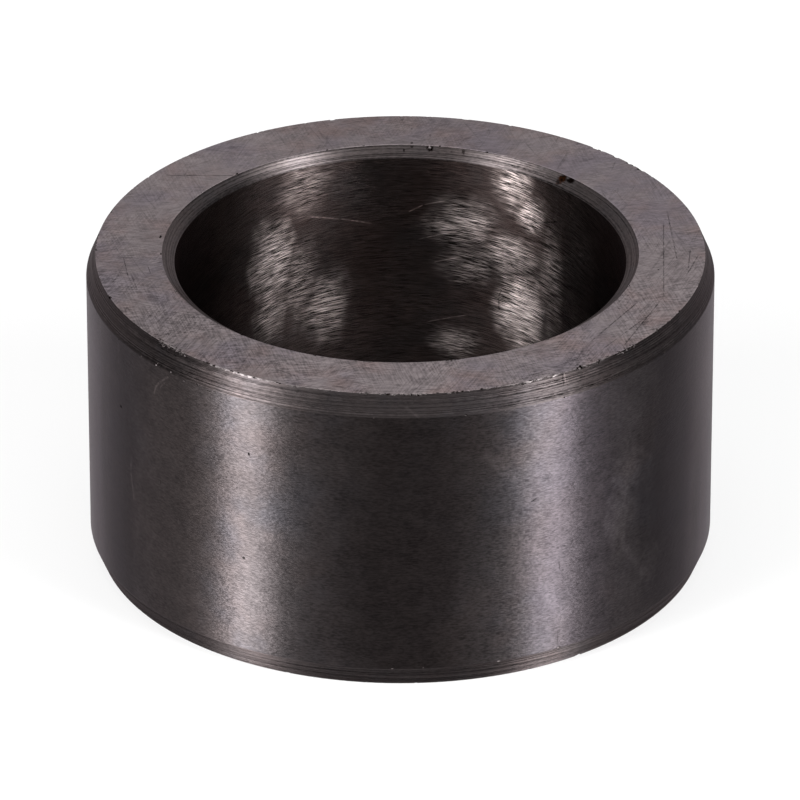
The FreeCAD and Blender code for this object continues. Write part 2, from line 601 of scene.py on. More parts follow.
def buildLongScratch():
    # One scratch from a point to another, uneven in depth and fading at its ends
    tree, given, result = newGroup("longScratch", "Mask", From=(0, 0, 0), To=(1, 0, 0), Width=0.1 * mm)
    away = vectorMath(tree, "SUBTRACT", given["Vector"], given["From"])
    line = vectorMath(tree, "SUBTRACT", given["To"], given["From"])
    length2 = vectorMath(tree, "DOT_PRODUCT", line, line, output="Value")
    dot = vectorMath(tree, "DOT_PRODUCT", away, line, output="Value")
    along = divide(tree, dot, length2, clamp=True)
    scaled = addNode(tree, "VectorMath", {0: line, "Scale": along}, operation="SCALE")
    offset = vectorMath(tree, "SUBTRACT", away, scaled.outputs[0])
    gap = vectorMath(tree, "LENGTH", offset, output="Value")
    uneven = noise(tree, given["Vector"], scale=1 / (0.7 * mm), detail=0.0)
    wobble = multiply(tree, subtract(tree, uneven, 0.5), given["Width"])
    near = fade(tree, add(tree, gap, wobble), multiply(tree, given["Width"], 0.2),
                given["Width"], 1.0, 0.0)
    ends = fade(tree, calculate(tree, "PINGPONG", multiply(tree, along, 2), 1), 0.0, 0.25)
    depth = multiply(tree, ends, fade(tree, uneven, 0.35, 0.6, 0.3, 1.0))
    plug(tree, result, multiply(tree, near, depth))
    return tree


def buildStainSpot():
    # A spot with a ragged rim: stains, rust dots, and places of painted light and shade
    tree, given, result = newGroup("stainAndLightSpot", "Mask", Centre=(0, 0, 0), Size=(mm, mm, mm),
                                   Ragged=0.5, Grain=0.5, Soft=0.5, Detail=1.0)
    away = vectorMath(tree, "SUBTRACT", given["Vector"], given["Centre"])
    scaled = vectorMath(tree, "DIVIDE", away, given["Size"])
    gap = vectorMath(tree, "LENGTH", scaled, output="Value")
    size = divide(tree, 1.0, given["Grain"])
    rough = noise(tree, scaled, scale=size, detail=given["Detail"], roughness=0.6)
    push = multiply(tree, subtract(tree, rough, 0.5), given["Ragged"])
    reach = add(tree, gap, multiply(tree, push, 4.0))
    inner = subtract(tree, 1.0, given["Soft"])
    plug(tree, result, fade(tree, reach, inner, 1.0, 1.0, 0.0))
    return tree


def buildEdgeWear():
    # A worn line round the axis: nearer to one edge, and broken up
    tree, given, result = newGroup("edgeWear", "Mask", Radius=35 * mm, Height=36 * mm,
                                   Reach=0.2 * mm, Broken=0.5, Piece=1.5 * mm)
    x, y, z = splitVector(tree, given["Vector"])
    across = subtract(tree, lengthOf(tree, x, y), given["Radius"])
    down = subtract(tree, z, given["Height"])
    gap = divide(tree, lengthOf(tree, across, down), given["Reach"])
    size = divide(tree, 1.0, given["Piece"])
    pieces = fade(tree, noise(tree, given["Vector"], scale=size, detail=4.0, roughness=0.7), 0.3, 0.7)
    worn = subtract(tree, pieces, given["Broken"])
    reach = subtract(tree, gap, multiply(tree, worn, 2.5))
    plug(tree, result, fade(tree, reach, 0.2, 0.7, 1.0, 0.0))
    return tree


def buildTarnish():
    # Oil and heat tints in soft clouds over the steel's own colour
    tree, given, result = newGroup("tarnish", "Color", "Color", Cloud=9 * mm, Steel=(0.1, 0.1, 0.1, 1),
                                   Brown=(0.1, 0.08, 0.07, 1), Blue=(0.08, 0.09, 0.1, 1), Amount=0.6)
    size = divide(tree, 1.0, given["Cloud"])
    clouds = noise(tree, given["Vector"], scale=size, detail=4.0, roughness=0.6)
    brownCloud = fade(tree, clouds, 0.42, 0.68)
    moved = vectorMath(tree, "ADD", given["Vector"], (31 * mm, 17 * mm, 55 * mm))
    clouds = noise(tree, moved, scale=size, detail=4.0, roughness=0.6)
    blueCloud = fade(tree, clouds, 0.45, 0.7)
    brownShare = multiply(tree, brownCloud, given["Amount"])
    blueShare = multiply(tree, blueCloud, given["Amount"])
    brown = mixColours(tree, brownShare, given["Steel"], given["Brown"])
    plug(tree, result, mixColours(tree, blueShare, brown, given["Blue"]))
    return tree


unrolled = buildUnrolled()
turningLines = buildTurningLines()
strokes = buildStrokes()
handScratches = buildHandScratches()
longScratch = buildLongScratch()
stainAndLightSpot = buildStainSpot()
edgeWear = buildEdgeWear()
tarnish = buildTarnish()
print("effects built:", len(bpy.data.node_groups))


# Finishes

def newMaterial(name):
    material = bpy.data.materials.new(name)
    material.use_nodes = True
    tree = material.node_tree
    return material, tree, tree.nodes["Principled BSDF"]


def startFinish(name, spec):
    material, tree, shader = newMaterial(name)
    shader.inputs["Metallic"].default_value = 1
    shader.inputs["Roughness"].default_value = spec["roughness"]
    shader.inputs["Specular Tint"].default_value = spec["grazing"]
    shader.inputs["Anisotropic"].default_value = spec["anisotropic"]
    if spec["anisotropic"]:
        shader.inputs["Anisotropic Rotation"].default_value = 0.25
        tangent = addNode(tree, "Tangent", direction_type="RADIAL", axis="Z")
        plug(tree, shader.inputs["Tangent"], tangent.outputs[0])
    place = addNode(tree, "TexCoord").outputs["Object"]
    return material, tree, shader, place


def strongest(tree, masks):
    # One mask at a time, because a finish can hold only so many results at once
    best = None
    for mask in masks:
        best = calculate(tree, "MAXIMUM", best, mask) if best else mask
    return best


def shadeOf(tree, start, parts):
    # One number for how light the metal is: a start, and each part with its own share
    total = start
    for part, share in parts:
        total = add(tree, total, multiply(tree, part, share))
    return total


def endFinish(tree, shader, spec, colour, heights):
    # The colour, and each height with its own share, together in one bump
    plug(tree, shader.inputs["Base Color"], colour)
    bump = addNode(tree, "Bump", {"Distance": spec["bump"], "Height": shadeOf(tree, 0, heights)})
    plug(tree, shader.inputs["Normal"], bump.outputs[0])


def darken(tree, colour, shade):
    return mixColours(tree, 1.0, colour, shade, "MULTIPLY")


def tarnished(tree, place, spec):
    return useGroup(tree, tarnish, place, Cloud=spec["cloud"], Steel=spec["steel"],
                    Brown=spec["brown"], Blue=spec["blue"], Amount=spec["tarnish"])


def spotMask(tree, place, centre, size, ragged, grain=0.4, soft=0.5, detail=1.0):
    # A stain, a dot of rust, or a place of painted light and shade, its half widths in mm
    return useGroup(tree, stainAndLightSpot, place, Centre=centre, Size=[value * mm for value in size],
                    Ragged=ragged, Grain=grain, Soft=soft, Detail=detail)


def scratchMask(tree, place, start, end, width):
    return useGroup(tree, longScratch, place, From=start, To=end, Width=width * mm)


def crossStrokes(tree, place, spec):
    # Strokes of several slants, each slant strong in patches of its own, and hairlines beside them
    grains = []
    hairs = []
    for number, (slant, bend, length, width) in enumerate(spec["layers"]):
        moved = vectorMath(tree, "ADD", place, (spec["patchShift"] * number, 0, 0))
        clouds = noise(tree, moved, scale=1 / spec["patchSize"], detail=1.0)
        patch = fade(tree, clouds, *spec["patchFade"])
        grain = useGroup(tree, strokes, place, Slant=slant, Bend=bend, Length=length * mm,
                         Width=width * mm)
        grains.append((multiply(tree, subtract(tree, grain, 0.5), patch), 1.0))
        hairs.append(useGroup(tree, handScratches, place, Slant=slant + spec["hairSlant"], Bend=bend,
                              **spec["hairs"]))
    return shadeOf(tree, 0, grains), strongest(tree, hairs)


def inSpace(x, y, z=36):
    # A place by its coordinates in mm, on the upper face if no height is given
    return Vector((x * mm, y * mm, z * mm))


def onWall(degrees, height):
    # A place on the outside wall, rolled out flat from the front
    return Vector((math.radians(degrees + 90) * sleeve["outerRadius"], height * mm, 0))


def inBore(degrees, height):
    # A place on the bore's wall, rolled out flat from the back
    return Vector((math.radians(90 - degrees) * sleeve["boreRadius"], height * mm, 0))


def addStainsAndPaintedLight(tree, flat, stainsAndPaintedLight, unroll):
    # Each spot lightens or darkens by its amount: one factor for the colour
    factor = 1.0
    for degrees, height, wide, high, ragged, amount in stainsAndPaintedLight:
        mask = spotMask(tree, flat, unroll(degrees, height), (wide, high, 1), ragged, soft=0.75)
        factor = multiply(tree, factor, shadeOf(tree, 1.0, [(mask, amount)]))
    return factor


def addPaintedLightAndShade(tree, place, spots):
    # Wide soft places of painted light and shade, lighter or darker: degrees, radius and height in mm,
    # half width in mm, how much
    parts = []
    for degrees, radius, height, size, amount in spots:
        centre = around(degrees, radius * mm, height * mm)
        parts.append((spotMask(tree, place, centre, (size, size, size), 0.1, soft=0.8), amount))
    return parts


def addLines(tree, place, lines, locate):
    # Single scratches as light and dark parts, each with its own amount
    parts = []
    for start, end, width, amount in lines:
        parts.append((scratchMask(tree, place, locate(*start), locate(*end), width), amount))
    return parts


# Rust and oil dots: place in mm, half widths in mm, how ragged, how dark
chamferRust = (
    ((18.3, 18.6, 35.7), (0.85, 0.75, 0.6), 0.16, 1.0),
    ((19.3, 17.9, 35.8), (0.75, 0.6, 0.5), 0.16, 1.0),
    ((17.9, 18.4, 35.4), (0.6, 0.5, 0.5), 0.22, 0.9),
    ((3.4, 26.2, 35.8), (0.5, 0.7, 0.6), 0.22, 1.0),
    ((0.4, 26.0, 35.6), (0.16, 0.3, 0.3), 0.3, 0.8),
    ((1.3, 26.4, 35.9), (0.25, 0.35, 0.3), 0.3, 0.7),
    ((5.8, 25.6, 35.4), (0.16, 0.3, 0.3), 0.3, 0.8),
    ((7.2, 25.3, 35.6), (0.28, 0.4, 0.4), 0.35, 0.8),
)
faceRust = (
    ((1.3, 30.6, 36.0), (0.14, 0.3, 0.3), 0.3, 0.6),
    ((3.4, 28.9, 36.0), (0.2, 0.35, 0.3), 0.3, 0.6),
    ((1.3, 27.0, 36.0), (0.22, 0.35, 0.3), 0.3, 0.8),
)
rust = {
    "dark": (0.004, 0.0022, 0.0016, 1),
    "brown": (0.029, 0.01, 0.0038, 1),
    "brownPlace": 17.9 * mm,       # along x: only the largest spot's left side is brown
    "roughness": 0.85,
}


def addRust(tree, shader, place, colour, roughness, dots):
    # Rust takes the metal's colour and its shine
    masks = []
    for centre, size, ragged, amount in dots:
        mask = spotMask(tree, place, inSpace(*centre), size, ragged, grain=0.6, detail=4.0)
        masks.append(multiply(tree, mask, amount))
    spots = strongest(tree, masks)
    along = vectorMath(tree, "DOT_PRODUCT", place, (1, 0, 0), output="Value")
    away = calculate(tree, "ABSOLUTE", subtract(tree, along, rust["brownPlace"]))
    grain = noise(tree, place, scale=1 / (0.3 * mm), detail=3.0)
    near = fade(tree, away, 0.4 * mm, 1.1 * mm, 1.0, 0.0)
    brown = multiply(tree, near, fade(tree, grain, 0.38, 0.55))
    crust = mixColours(tree, brown, rust["dark"], rust["brown"])
    plug(tree, shader.inputs["Roughness"], fade(tree, spots, 0, 1, roughness, rust["roughness"]))
    return mixColours(tree, spots, colour, crust)


groundWall = {
    "steel": (0.045, 0.0392, 0.0400, 1),
    "brown": (0.045, 0.0372, 0.0370, 1),
    "blue": (0.040, 0.0375, 0.0415, 1),
    "grazing": (0.97, 0.9, 0.94, 1),
    "roughness": 0.42,
    "anisotropic": 1.0,
    "cloud": 9 * mm,               # how wide the oil's clouds are, and how strong
    "tarnish": 0.8,
    "tintShare": 0.75,
    "shares": (0.62, 0.1, 0.86, 0.34),       # how light: fine and broad lines, smudges, clouds
    "bump": 0.009 * mm,
    # stains, and painted shade and highlight: degrees, height, half width and half height in mm, how
    # ragged, how much lighter
    "stainsAndPaintedLight": (
        (-89, 17, 11, 45, 0.1, -0.45),           # painted shade on the front
        (-153, 18, 7.0, 45, 0.14, -0.57),        # and painted shade on the sides
        (-31, 18, 9.5, 45, 0.14, -0.68),
        (-44, 21.4, 4.0, 3.0, 0.45, 0.5),
        (-47, 16.4, 3.0, 4.2, 0.45, 0.42),
        (-38, 8.1, 2.6, 3.2, 0.45, 0.6),
        (-52, 15.6, 0.7, 0.6, 0.15, 0.3),
        # painted highlight: the lower part of the left bright band made lighter
        (-123, 6, 7.0, 13, 0.15, 0.26),
        (-143, 30, 3.5, 5.0, 0.3, -0.1),
        (-78, 8, 5.0, 5.0, 0.4, 0.22),
        (-63, 24.4, 0.75, 0.7, 0.4, -0.3),
        (-168, 25, 2.2, 10, 0.35, 0.2),
        (-160, 20, 1.6, 14, 0.4, -0.25),
        (-171, 8, 2.6, 8, 0.35, 0.28),
        (-154, 30, 2.6, 4, 0.4, 0.16),
        (-12, 26, 2.2, 9, 0.35, 0.22),
        (-19, 12, 2.4, 10, 0.4, -0.22),
        (-9, 9, 2.2, 8, 0.35, 0.22),
    ),
    # degrees, height, half width and half height in mm, and the oil's colour there
    "tints": (
        (-90, 18, 14, 40, (0.0455, 0.0365, 0.0360, 1)),
        (-138, 18, 12, 40, (0.047, 0.0382, 0.0368, 1)),
        (-56, 18, 10, 40, (0.0425, 0.0362, 0.0412, 1)),
        (-166, 18, 5, 40, (0.0435, 0.0385, 0.0425, 1)),
    ),
    # from and to in degrees and height, width in mm, how much lighter
    "scratches": (
        ((-147.9, 20.2), (-148.3, 18.2), 0.24, 1.4),
        ((-148.3, 18.2), (-147.2, 14.6), 0.24, 1.3),
        ((-140.4, 29.8), (-139.9, 30.8), 0.2, 1.3),
        ((-139.9, 30.8), (-138.9, 31.6), 0.2, 1.4),
        ((-138.9, 31.6), (-136.2, 33.0), 0.18, 1.1),
        ((-138.7, 31.0), (-137.3, 32.0), 0.16, 0.8),
        ((-117.8, 27.4), (-116.4, 28.2), 0.2, 0.4),
        ((-66.6, 21.5), (-64.8, 22.0), 0.14, -0.7),
        ((-60.8, 15.2), (-58.7, 15.1), 0.12, -0.5),
        ((-60.6, 31.6), (-58.6, 31.9), 0.42, -0.35),
        ((-60.3, 13.4), (-60.0, 11.9), 0.16, -0.35),
        ((-63.9, 12.0), (-59.2, 5.0), 1.1, 0.22),
        ((-75.5, 29.0), (-68.5, 24.5), 1.0, 0.45),
        ((-46.7, 13.2), (-40.8, 8.7), 0.8, 0.35),
    ),
}


def makeGroundWall(spec):
    material, tree, shader, place = startFinish("ground_wall", spec)
    flat = useGroup(tree, unrolled, place, Facing=-1.0)
    colour = tarnished(tree, place, spec)
    for degrees, height, wide, high, tint in spec["tints"]:
        mask = spotMask(tree, flat, onWall(degrees, height), (wide, high, 1), 0.15, soft=0.8)
        colour = mixColours(tree, multiply(tree, mask, spec["tintShare"]), colour, tint)
    fine = useGroup(tree, turningLines, place, Length=0.55 * mm, Width=0.14 * mm)
    broad = useGroup(tree, turningLines, place, Length=9 * mm, Width=0.6 * mm)
    smudge = noise(tree, place, scale=1 / (2.2 * mm), detail=4.0, roughness=0.7)
    cloud = noise(tree, place, scale=1 / (7 * mm), detail=3.0)
    lines = addLines(tree, flat, spec["scratches"], onWall)
    shade = shadeOf(tree, 0.0, [*zip((fine, broad, smudge, cloud), spec["shares"]), *lines])
    # the stains' factor also holds the painted shade of the front and sides and a painted highlight on
    # the left band
    shade = multiply(tree, shade, addStainsAndPaintedLight(tree, flat, spec["stainsAndPaintedLight"], onWall))
    endFinish(tree, shader, spec, darken(tree, colour, shade), [(fine, 1.0), (broad, 0.4)])
    return material


lappedFace = {
    "steel": (0.36, 0.31, 0.317, 1),
    "brown": (0.335, 0.252, 0.244, 1),
    "blue": (0.30, 0.262, 0.295, 1),
    "worn": (0.42, 0.37, 0.37, 1),
    "grazing": (0.7, 0.66, 0.68, 1),
    "roughness": 0.46,
    "anisotropic": 0.0,
    "cloud": 8 * mm,
    "tarnish": 0.8,
    "level": 0.71,                 # how light it is without any marks
    "shares": (1.0, 0.6, -0.26, -0.65),      # how light: grain, smudges, hairlines, scratches
    "grainFade": (-22 * mm, 24 * mm, 0.34, 0.16),    # y in front and behind, the grain's share there
    "bump": 0.011 * mm,
    # of the hand's strokes: slant in degrees, bend, length and width in mm
    "layers": ((-75, 0, 2, 0.2), (-22, 0, 2, 0.2), (28, 0, 2, 0.2), (66, 0, 2, 0.2), (4, 0, 2, 0.2)),
    "patchShift": 37 * mm,
    "patchSize": 7 * mm,
    "patchFade": (0.38, 0.62, 0.25, 1.0),
    "hairSlant": 7,                # the hairlines' slant off the strokes', in degrees
    "hairs": {"Length": 9 * mm, "Spacing": 0.5 * mm, "Thin": 0.035, "Coverage": 0.45},
    # painted shade to the left, behind and front left: degrees, radius, height and half width in mm, how
    # much lighter
    "spots": ((-165, 28, 36, 26, -0.11), (90, 31, 36, 18, -0.11), (-134, 31, 36, 15, -0.09)),
    # from and to in the plane of the face, and width, all in mm
    "scratches": (
        ((-26.8, 18.8), (-18.1, 18.65), 0.16),
        ((29.9, 10.3), (30.8, -3.0), 0.12),
        ((29.5, 8.0), (29.0, -11.9), 0.1),
        ((32.3, 0.6), (31.9, -4.5), 0.1),
        ((33.2, -0.8), (31.6, -6.2), 0.1),
        ((20.4, -22.4), (26.4, -11.9), 0.13),
        ((22.0, -23.6), (28.1, -14.2), 0.1),
        ((24.2, -23.1), (28.7, -11.9), 0.12),
        ((-30.8, -1.4), (-30.1, -6.6), 0.07),
        ((-29.8, -5.8), (-29.0, -9.6), 0.07),
        ((-28.0, -3.8), (-27.6, -5.8), 0.07),
        ((9.5, -29.6), (17.2, -25.4), 0.1),
        ((12.4, -31.0), (21.8, -23.8), 0.1),
        ((-14.6, -27.2), (-9.8, -31.0), 0.08),
    ),
}
# Where the face's outer edge is burred and bright: degrees, half width in mm, how much
burrs = (
    (-122, 5.5, 0.9), (-108, 5, 0.5), (-65, 4.5, 0.8),
    (-52, 3.5, 0.6), (-137, 2.6, 0.7), (-90, 7, 0.3),
)


def addBurr(tree, place):
    # The bright broken line along the face's outer edge, as a mask
    windows = []
    for degrees, wide, amount in burrs:
        centre = around(degrees, sleeve["faceOuterRadius"], sleeve["length"])
        mask = spotMask(tree, place, centre, (wide, wide, 5), 0.1, grain=0.3)
        windows.append(multiply(tree, mask, amount))
    wear = useGroup(tree, edgeWear, place, Reach=0.11 * mm, Broken=0.38, Piece=0.6 * mm,
                    Radius=sleeve["faceOuterRadius"], Height=sleeve["length"])
    return multiply(tree, wear, calculate(tree, "MAXIMUM", 0.12, strongest(tree, windows)))


def makeLappedFace(spec):
    material, tree, shader, place = startFinish("lapped_face", spec)
    colour = tarnished(tree, place, spec)
    grain, scratches = crossStrokes(tree, place, spec)
    marks = strongest(tree, (
        scratchMask(tree, place, inSpace(*start), inSpace(*end), width)
        for start, end, width in spec["scratches"]))
    smudge = noise(tree, place, scale=1 / (1.6 * mm), detail=4.0, roughness=0.7)
    depth = vectorMath(tree, "DOT_PRODUCT", place, (0, 1, 0), output="Value")
    faded = multiply(tree, grain, fade(tree, depth, *spec["grainFade"]))
    parts = [*zip((faded, smudge, scratches, marks), spec["shares"]),
             *addPaintedLightAndShade(tree, place, spec["spots"])]
    colour = darken(tree, colour, shadeOf(tree, spec["level"], parts))
    colour = mixColours(tree, addBurr(tree, place), colour, spec["worn"])
    colour = addRust(tree, shader, place, colour, spec["roughness"], faceRust)
    endFinish(tree, shader, spec, colour, [(grain, 0.3), (scratches, -0.8), (marks, -2.0)])
    return material


# What both turned tapers have alike
turned = {
    "grazing": (0.75, 0.69, 0.71, 1),
    "roughness": 0.48,
    "anisotropic": 1.0,
    "cloud": 6 * mm,
    "tarnish": 0.6,
    "level": 0.66,
    "shares": (0.85, 0.62),                  # how light: tool rings, grain
    "bump": 0.012 * mm,
}
leadIn = {
    **turned,
    "steel": (0.0405, 0.0342, 0.0343, 1),
    "brown": (0.0405, 0.0318, 0.0312, 1),
    "blue": (0.0370, 0.0335, 0.0353, 1),
    "worn": (0.14, 0.125, 0.125, 1),
    # painted light and shade: degrees, radius, height and half width in mm, how much lighter
    "spots": (
        (-90, 34.5, 34.7, 17, 0.85),
        (-172, 34.5, 34.7, 20, 0.66),
        (-6, 34.5, 34.7, 18, 0.32),
        (-60, 34.5, 34.7, 10, -0.24),
        (-120, 34.5, 34.7, 8, 0.1),
    ),
    "ringFade": (-26 * mm, -8 * mm, 1.0, 0.35),      # y in front and behind, the rings' share there
    "brightRings": (0.7, 0.96, 2.01, 2.27),  # mm down the taper, each beside a deep ring
    "brightShare": 0.65,
    # from and to in mm, width in mm, how much lighter
    "scratches": (
        ((0.5, -34.5, 34.75), (2.2, -34.9, 33.5), 0.24, 0.9),
        # a nick across the lead-in, drawn as a line of painted highlight beside a line of painted shade
        ((17.75, -28.9, 36), (18.1, -29.7, 34.3), 0.14, 0.9),
        ((17.5, -29.0, 36), (17.8, -29.8, 34.4), 0.12, -0.8),
    ),
}
boreChamfer = {
    **turned,
    "steel": (0.13, 0.111, 0.111, 1),
    "brown": (0.122, 0.098, 0.095, 1),
    "blue": (0.117, 0.106, 0.111, 1),
    # painted shade at the right band and painted light on the left and right, in the lead-in's columns
    "spots": (
        (57, 25.9, 35.5, 7, -0.42),
        (178, 25.9, 35.5, 12, 0.8),
        (-2, 25.9, 35.5, 12, 0.5),
    ),
    "ringFade": (-26 * mm, -27 * mm, 1.0, 1.2),
}


def turnedColour(tree, place, spec, marks):
    # Long rings of the tool under a short grain, single marks with their shares, and the spots' painted
    # light and shade
    colour = tarnished(tree, place, spec)
    fine = useGroup(tree, turningLines, place, Length=30 * mm, Width=0.12 * mm)
    grain = useGroup(tree, turningLines, place, Length=0.6 * mm, Width=0.12 * mm)
    depth = vectorMath(tree, "DOT_PRODUCT", place, (0, 1, 0), output="Value")
    share = fade(tree, depth, *spec["ringFade"])
    sharp = multiply(tree, fade(tree, fine, 0.2, 0.8, -0.5, 0.5), share)
    parts = [*zip((sharp, grain), spec["shares"]), *marks, *addPaintedLightAndShade(tree, place, spec["spots"])]
    return darken(tree, colour, shadeOf(tree, spec["level"], parts)), fine, grain


def addBrightRings(tree, place, spec):
    # The ridges beside the deep tool rings catch the light
    parts = []
    for down in spec["brightRings"]:
        share = down * mm / math.hypot(sleeve["leadInLength"], sleeve["leadInDrop"])
        ring = useGroup(tree, edgeWear, place, Reach=0.06 * mm, Broken=0.42, Piece=1.2 * mm,
                        Radius=sleeve["faceOuterRadius"] + share * sleeve["leadInDrop"],
                        Height=sleeve["length"] - share * sleeve["leadInLength"])
        parts.append((ring, spec["brightShare"]))
    return parts


def makeLeadIn(spec):
    material, tree, shader, place = startFinish("turned_lead_in", spec)
    marks = addLines(tree, place, spec["scratches"], inSpace) + addBrightRings(tree, place, spec)
    colour, fine, grain = turnedColour(tree, place, spec, marks)
    colour = mixColours(tree, addBurr(tree, place), colour, spec["worn"])
    endFinish(tree, shader, spec, colour, [(fine, 1.0), (grain, 0.3)])
    return material


def makeBoreChamfer(spec):
    material, tree, shader, place = startFinish("turned_bore_chamfer", spec)
    colour, fine, grain = turnedColour(tree, place, spec, [])
    colour = addRust(tree, shader, place, colour, spec["roughness"], chamferRust)
    endFinish(tree, shader, spec, colour, [(fine, 1.0), (grain, 0.3)])
    return material


honedBore = {
    "steel": (0.0290, 0.0218, 0.0206, 1),
    "brown": (0.0272, 0.0186, 0.0170, 1),
    "blue": (0.0238, 0.0206, 0.0205, 1),
    # the colour of the painted highlights
    "highlightColour": (0.325, 0.279, 0.269, 1),
    "grazing": (0.6, 0.55, 0.57, 1),
    "roughness": 0.45,
    "anisotropic": 1.0,
    "cloud": 8 * mm,
    "tarnish": 0.7,
    "highlightLevel": 0.83,            # how strong a painted highlight is, and the broad and fine strokes' shares in that
    "highlightShares": (0.15, 0.5),
    "level": 0.92,
    "shares": (1.7, 0.06, 0.85),             # how light: grain, broad strokes, hairlines
    "darkest": 0.12,
    "bump": 0.014 * mm,
    # of the hone and the emery: slant in degrees, bend, length and width in mm
    "layers": ((1, 4, 2.4, 0.08), (-6, 4, 1.6, 0.066), (8, 6, 2.0, 0.07)),
    "patchShift": 40 * mm,
    "patchSize": 6 * mm,
    "patchFade": (0.4, 0.6, 0.5, 1.0),
    "hairSlant": 0,
    "hairs": {"Length": 6 * mm, "Spacing": 0.26 * mm, "Thin": 0.04, "Coverage": 0.5},
    # painted highlights, as patches of lighter steel: degrees, height, half width and half height in mm,
    # how much
    "patches": (
        (116.0, 32.5, 4.6, 5.0, 0.15),
        (125.9, 24.0, 4.2, 6.8, 0.82),
        (126.0, 17.5, 3.4, 4.5, 0.45),
        (117.5, 20.5, 3.2, 7.5, 0.26),
        (110.1, 16.8, 4.2, 6.0, 0.36),
        (58.8, 33.6, 3.8, 4.8, 0.28),
        (53.5, 30.2, 3.0, 3.2, 0.42),
        (73.8, 27.2, 5.6, 4.2, 0.52),
        (60.2, 24.3, 6.4, 3.6, 0.36),
        (72.5, 22.0, 5.0, 3.4, 0.28),
        (56.4, 17.6, 4.7, 6.6, 0.88),
        (47.0, 23.0, 3.2, 11, 0.24),
        (75.5, 11.8, 4.0, 2.6, 0.4),
        (37.0, 26.0, 5.5, 14, 0.07),
    ),
    # from and to in degrees and height, width in mm, how much lighter
    "scratches": (
        ((114.2, 28.6), (105.9, 27.7), 0.13, 3.6),
        ((105.9, 27.7), (97.1, 26.7), 0.12, 5.2),
        ((88.0, 28.1), (84.0, 29.1), 0.12, 5.2),
        ((84.0, 29.1), (77.5, 29.9), 0.12, 2.4),
        ((85.7, 24.6), (74.8, 26.1), 0.11, 2.5),
        ((81.5, 21.8), (74.3, 22.8), 0.12, 2.5),
        ((83.5, 14.0), (72.0, 15.5), 0.12, 2.8),
        ((78.0, 19.6), (66.0, 19.9), 0.13, 1.6),
        ((63.9, 19.3), (62.6, 19.6), 0.14, -1.3),
        ((62.6, 19.6), (63.5, 18.6), 0.14, -1.3),
        ((63.5, 18.6), (63.3, 16.8), 0.15, -1.4),
        ((56.3, 28.7), (43.0, 30.9), 0.15, -1.0),
    ),
}


def makeHonedBore(spec):
    material, tree, shader, place = startFinish("honed_bore", spec)
    flat = useGroup(tree, unrolled, place, Facing=1.0)
    colour = tarnished(tree, place, spec)
    grain, hairlines = crossStrokes(tree, flat, spec)
    broad = useGroup(tree, strokes, flat, Slant=2, Bend=6, Length=4 * mm, Width=0.45 * mm)
    # painted highlights: patches of lighter steel where the bore is lit brightest
    masks = []
    for degrees, height, wide, high, amount in spec["patches"]:
        mask = spotMask(tree, flat, inBore(degrees, height), (wide, high, 1), 0.18, grain=0.5, soft=0.92)
        masks.append(multiply(tree, mask, amount))
    patches = strongest(tree, masks)
    streaky = shadeOf(tree, spec["highlightLevel"], zip((broad, grain), spec["highlightShares"]))
    highlightMix = multiply(tree, streaky, patches, clamp=True)
    colour = mixColours(tree, highlightMix, colour, spec["highlightColour"])
    # the strokes are real grain, but their stronger contrast inside the painted highlights is painted
    # glint
    contrast = fade(tree, patches, 0, 0.25, 0.4, 1.2)
    scratches = multiply(tree, hairlines, contrast)
    lines = addLines(tree, flat, spec["scratches"], inBore)
    sharp = multiply(tree, grain, contrast)
    shade = shadeOf(tree, spec["level"], [*zip((sharp, broad, scratches), spec["shares"]), *lines])
    shade = calculate(tree, "MAXIMUM", shade, spec["darkest"])
    endFinish(tree, shader, spec, darken(tree, colour, shade), [(grain, 1.0), (broad, 0.5)])
    return material


chippedEdge = {
    "steel": (0.13, 0.114, 0.114, 1),
    "grime": (0.012, 0.009, 0.0085, 1),
    "grazing": (0.7, 0.66, 0.68, 1),
    "roughness": 0.58,
    "anisotropic": 0.0,
    "bump": 0.01 * mm,
}


def makeChippedEdge(spec):
    material, tree, shader, place = startFinish("chipped_edge", spec)
    grain = noise(tree, place, scale=1 / (0.12 * mm), detail=2.0)
    dirt = fade(tree, noise(tree, place, scale=1 / (0.5 * mm), detail=2.0), 0.44, 0.58)
    colour = mixColours(tree, dirt, spec["steel"], spec["grime"])
    colour = addRust(tree, shader, place, colour, spec["roughness"], chamferRust[:3])
    endFinish(tree, shader, spec, colour, [(grain, 1.0)])
    return material


def finishAt(centre, spec):
    # Which finish a face of the sleeve has, by where it lies
    edge = 0.03 * mm
    radius = radiusOf(centre)
    if centre.z < edge or centre.z > spec["length"] - edge:
        return "lapped_face"
    if radius > spec["outerRadius"] - edge:
        return "ground_wall"
    if radius < spec["boreRadius"] + edge:
        return "honed_bore"
    middle = (spec["boreRadius"] + spec["outerRadius"]) / 2
    return "turned_lead_in" if radius > middle else "turned_bore_chamfer"


def finishSleeve(obj, spec):
    # The chipped edges' finish comes last, where the nicks look for it
    for make, values in ((makeGroundWall, groundWall), (makeLappedFace, lappedFace), (makeLeadIn, leadIn),
                         (makeBoreChamfer, boreChamfer), (makeHonedBore, honedBore),
                         (makeChippedEdge, chippedEdge)):
        obj.data.materials.append(make(values))
    numbers = {name: number for number, name in enumerate(obj.data.materials.keys())}
    for face in obj.data.polygons:
        face.material_index = numbers[finishAt(face.center, spec)]


def smoothSleeve(obj):
    # Smooth round the axis, sharp along every edge and chip, and dead flat on the end faces
    selectOnly(obj)
    bpy.ops.object.shade_smooth_by_angle(angle=math.radians(30))
    for face in obj.data.polygons:
        if abs(face.normal.z) > 0.999:
            face.use_smooth = False


finishSleeve(turnedSleeve, sleeve)
print("finishes given:", len(turnedSleeve.data.materials))
print("nicks cut:", makeNicks(turnedSleeve, nicks, sleeve), len(turnedSleeve.data.polygons), "faces")
smoothSleeve(turnedSleeve)

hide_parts("sleeve")
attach(turnedSleeve, "root")


